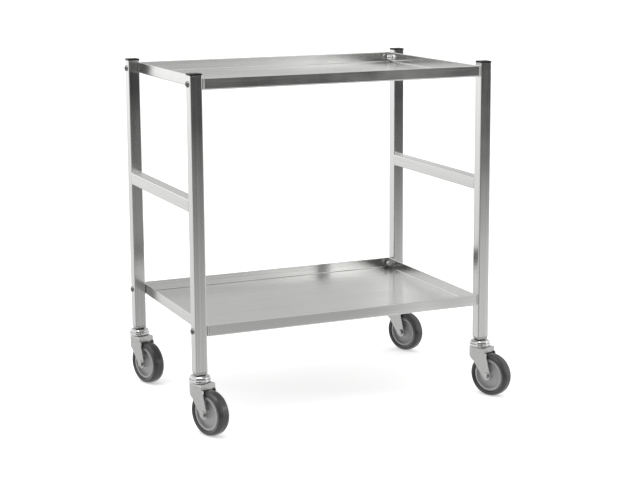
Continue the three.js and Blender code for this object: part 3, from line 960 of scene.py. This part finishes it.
def ramp(tree, rise, stops):
    """A brightness for each elevation, from [degrees, brightness] stops."""
    lowest, highest = ELEVATIONS
    inputs = {"Value": rise, "From Min": math.radians(lowest), "From Max": math.radians(highest)}
    height = add_node(tree, "ShaderNodeMapRange", inputs).outputs[0]
    made = add_node(tree, "ShaderNodeValToRGB", {"Fac": height})
    points = made.color_ramp.elements
    while len(points) < len(stops):
        points.new(0.5)
    for k, (degrees, brightness) in enumerate(stops):
        points[k].position = (degrees - lowest) / (highest - lowest)
        points[k].color = (*[brightness / BRIGHTEST] * 3, 1)
    return made.outputs["Color"]


def window(tree, angle, middle, half, soft):
    """One within half of a middle angle, in degrees, and nothing beyond a soft edge."""
    offset = calculated(tree, "SUBTRACT", angle, math.radians(middle))
    inputs = {
        "Value": calculated(tree, "ABSOLUTE", offset),
        "From Min": math.radians(half + soft),
        "From Max": math.radians(half),
    }
    return add_node(tree, "ShaderNodeMapRange", inputs, interpolation_type="SMOOTHSTEP").outputs[0]


def blended(tree, factor, under, over):
    inputs = {"Factor": factor, 6: under, 7: over}
    return add_node(tree, "ShaderNodeMix", inputs, data_type="RGBA").outputs[2]


def make_world():
    """The studio round the trolley, as a brightness for each direction.

    Directions are an elevation, and an azimuth from -Y towards +X."""
    world = bpy.data.worlds.new("studio")
    bpy.context.scene.world = world
    world.use_nodes = True
    tree = world.node_tree
    toward = add_node(tree, "ShaderNodeTexCoord").outputs["Generated"]
    split = add_node(tree, "ShaderNodeSeparateXYZ", {0: toward})
    rise = calculated(tree, "ARCSINE", split.outputs["Z"])
    forward = calculated(tree, "MULTIPLY", split.outputs["Y"], -1.0)
    azimuth = calculated(tree, "ARCTAN2", split.outputs["X"], forward)

    walls = ramp(
        tree,
        rise,
        [(-60, 0.9), (-16, 0.92), (-10, 1.02), (-7, 1.17), (-4, 1.38), (20, 1.33), (60, 0.95)],
    )
    back_right = ramp(tree, rise, [(-60, 0.9), (-4, 1.1), (1, 1.0), (6, 0.74), (20, 0.68), (60, 0.8)])
    front_left = ramp(
        tree,
        rise,
        [
            (-60, 0.95), (-30, 0.8), (-15, 0.66), (-12.5, 0.48), (-10.5, 0.3), (-8.5, 0.14),
            (-7, 0.03), (-4, 0.02), (0, 0.03), (4, 0.95), (20, 1.0), (60, 0.9),
        ],
    )
    front_right = ramp(
        tree,
        rise,
        [
            (-60, 1.0), (-30, 1.0), (-14, 0.98), (-12, 0.92), (-10.6, 0.8), (-9.4, 0.33),
            (-8, 0.04), (-6.5, 0.01), (0, 0.01), (3.5, 0.75), (20, 1.0), (60, 0.9),
        ],
    )
    behind_camera = ramp(
        tree, rise, [(-60, 0.9), (-30, 0.75), (-15, 0.5), (-8, 0.2), (-4, 0.12), (25, 0.12), (40, 0.9), (60, 0.95)]
    )
    front = blended(tree, window(tree, azimuth, 43.5, 16, 1.5), front_left, front_right)
    sky = blended(tree, window(tree, azimuth, 150, 22, 12), walls, back_right)
    sky = blended(tree, window(tree, azimuth, 22, 16, 12), sky, front)
    sky = blended(tree, window(tree, azimuth, -30, 26, 10), sky, behind_camera)

    above = window(tree, rise, 16, 11, 3)
    front_strip = calculated(tree, "MULTIPLY", window(tree, azimuth, 24.6, 1.2, 1.8), above)
    back_strip = calculated(tree, "MULTIPLY", window(tree, azimuth, 153.2, 0.3, 0.8), above)
    strips = calculated(
        tree,
        "ADD",
        calculated(tree, "MULTIPLY", front_strip, 1.0),
        calculated(tree, "MULTIPLY", back_strip, 0.38),
    )
    scaled = add_node(
        tree, "ShaderNodeVectorMath", {0: sky, 1: (BRIGHTEST,) * 3}, operation="MULTIPLY"
    ).outputs[0]
    lit = add_node(tree, "ShaderNodeVectorMath", {0: scaled, 1: strips}, operation="ADD").outputs[0]
    seen = add_node(tree, "ShaderNodeLightPath").outputs["Is Camera Ray"]
    background = tree.nodes["Background"]
    tree.links.new(blended(tree, seen, lit, (1, 1, 1, 1)), background.inputs["Color"])


def make_light(name, place, target, size, power):
    """A rectangular softbox that points at a target and is not seen itself."""
    light = bpy.data.lights.new(name, "AREA")
    light.shape = "RECTANGLE"
    light.size, light.size_y = size
    light.energy = power
    obj = bpy.data.objects.new(name, light)
    bpy.context.scene.collection.objects.link(obj)
    obj.location = place
    obj.rotation_mode = "QUATERNION"
    obj.rotation_quaternion = (Vector(place) - Vector(target)).to_track_quat("Z", "Y")
    obj.visible_camera = False


def make_camera():
    """Three metres off the front left corner, a little above the upper shelf."""
    yaw, pitch, roll = math.radians(23.81), math.radians(9.95), math.radians(-0.33)
    turn = Matrix.Rotation(-yaw, 4, "Z") @ Matrix.Rotation(math.pi / 2 - pitch, 4, "X")
    data = bpy.data.cameras.new("camera")
    data.sensor_width = 36.0
    data.lens = 86.1
    data.shift_y = -0.06
    data.clip_end = 200.0
    camera = bpy.data.objects.new("camera", data)
    bpy.context.scene.collection.objects.link(camera)
    camera.matrix_world = (
        Matrix.Translation((-1.4044, -3.2127, 1.0642)) @ turn @ Matrix.Rotation(roll, 4, "Z")
    )
    bpy.context.scene.camera = camera


make_floor()
make_world()
make_light("overhead_softbox", (-0.8, -0.6, 3.2), (0, 0, 0.3), (2.4, 2.4), 45)
make_light("right_softbox", (2.6, -1.5, 0.95), (0.1, 0, 0.2), (0.3, 0.9), 6)
make_camera()
bpy.context.scene.view_settings.view_transform = "Standard"
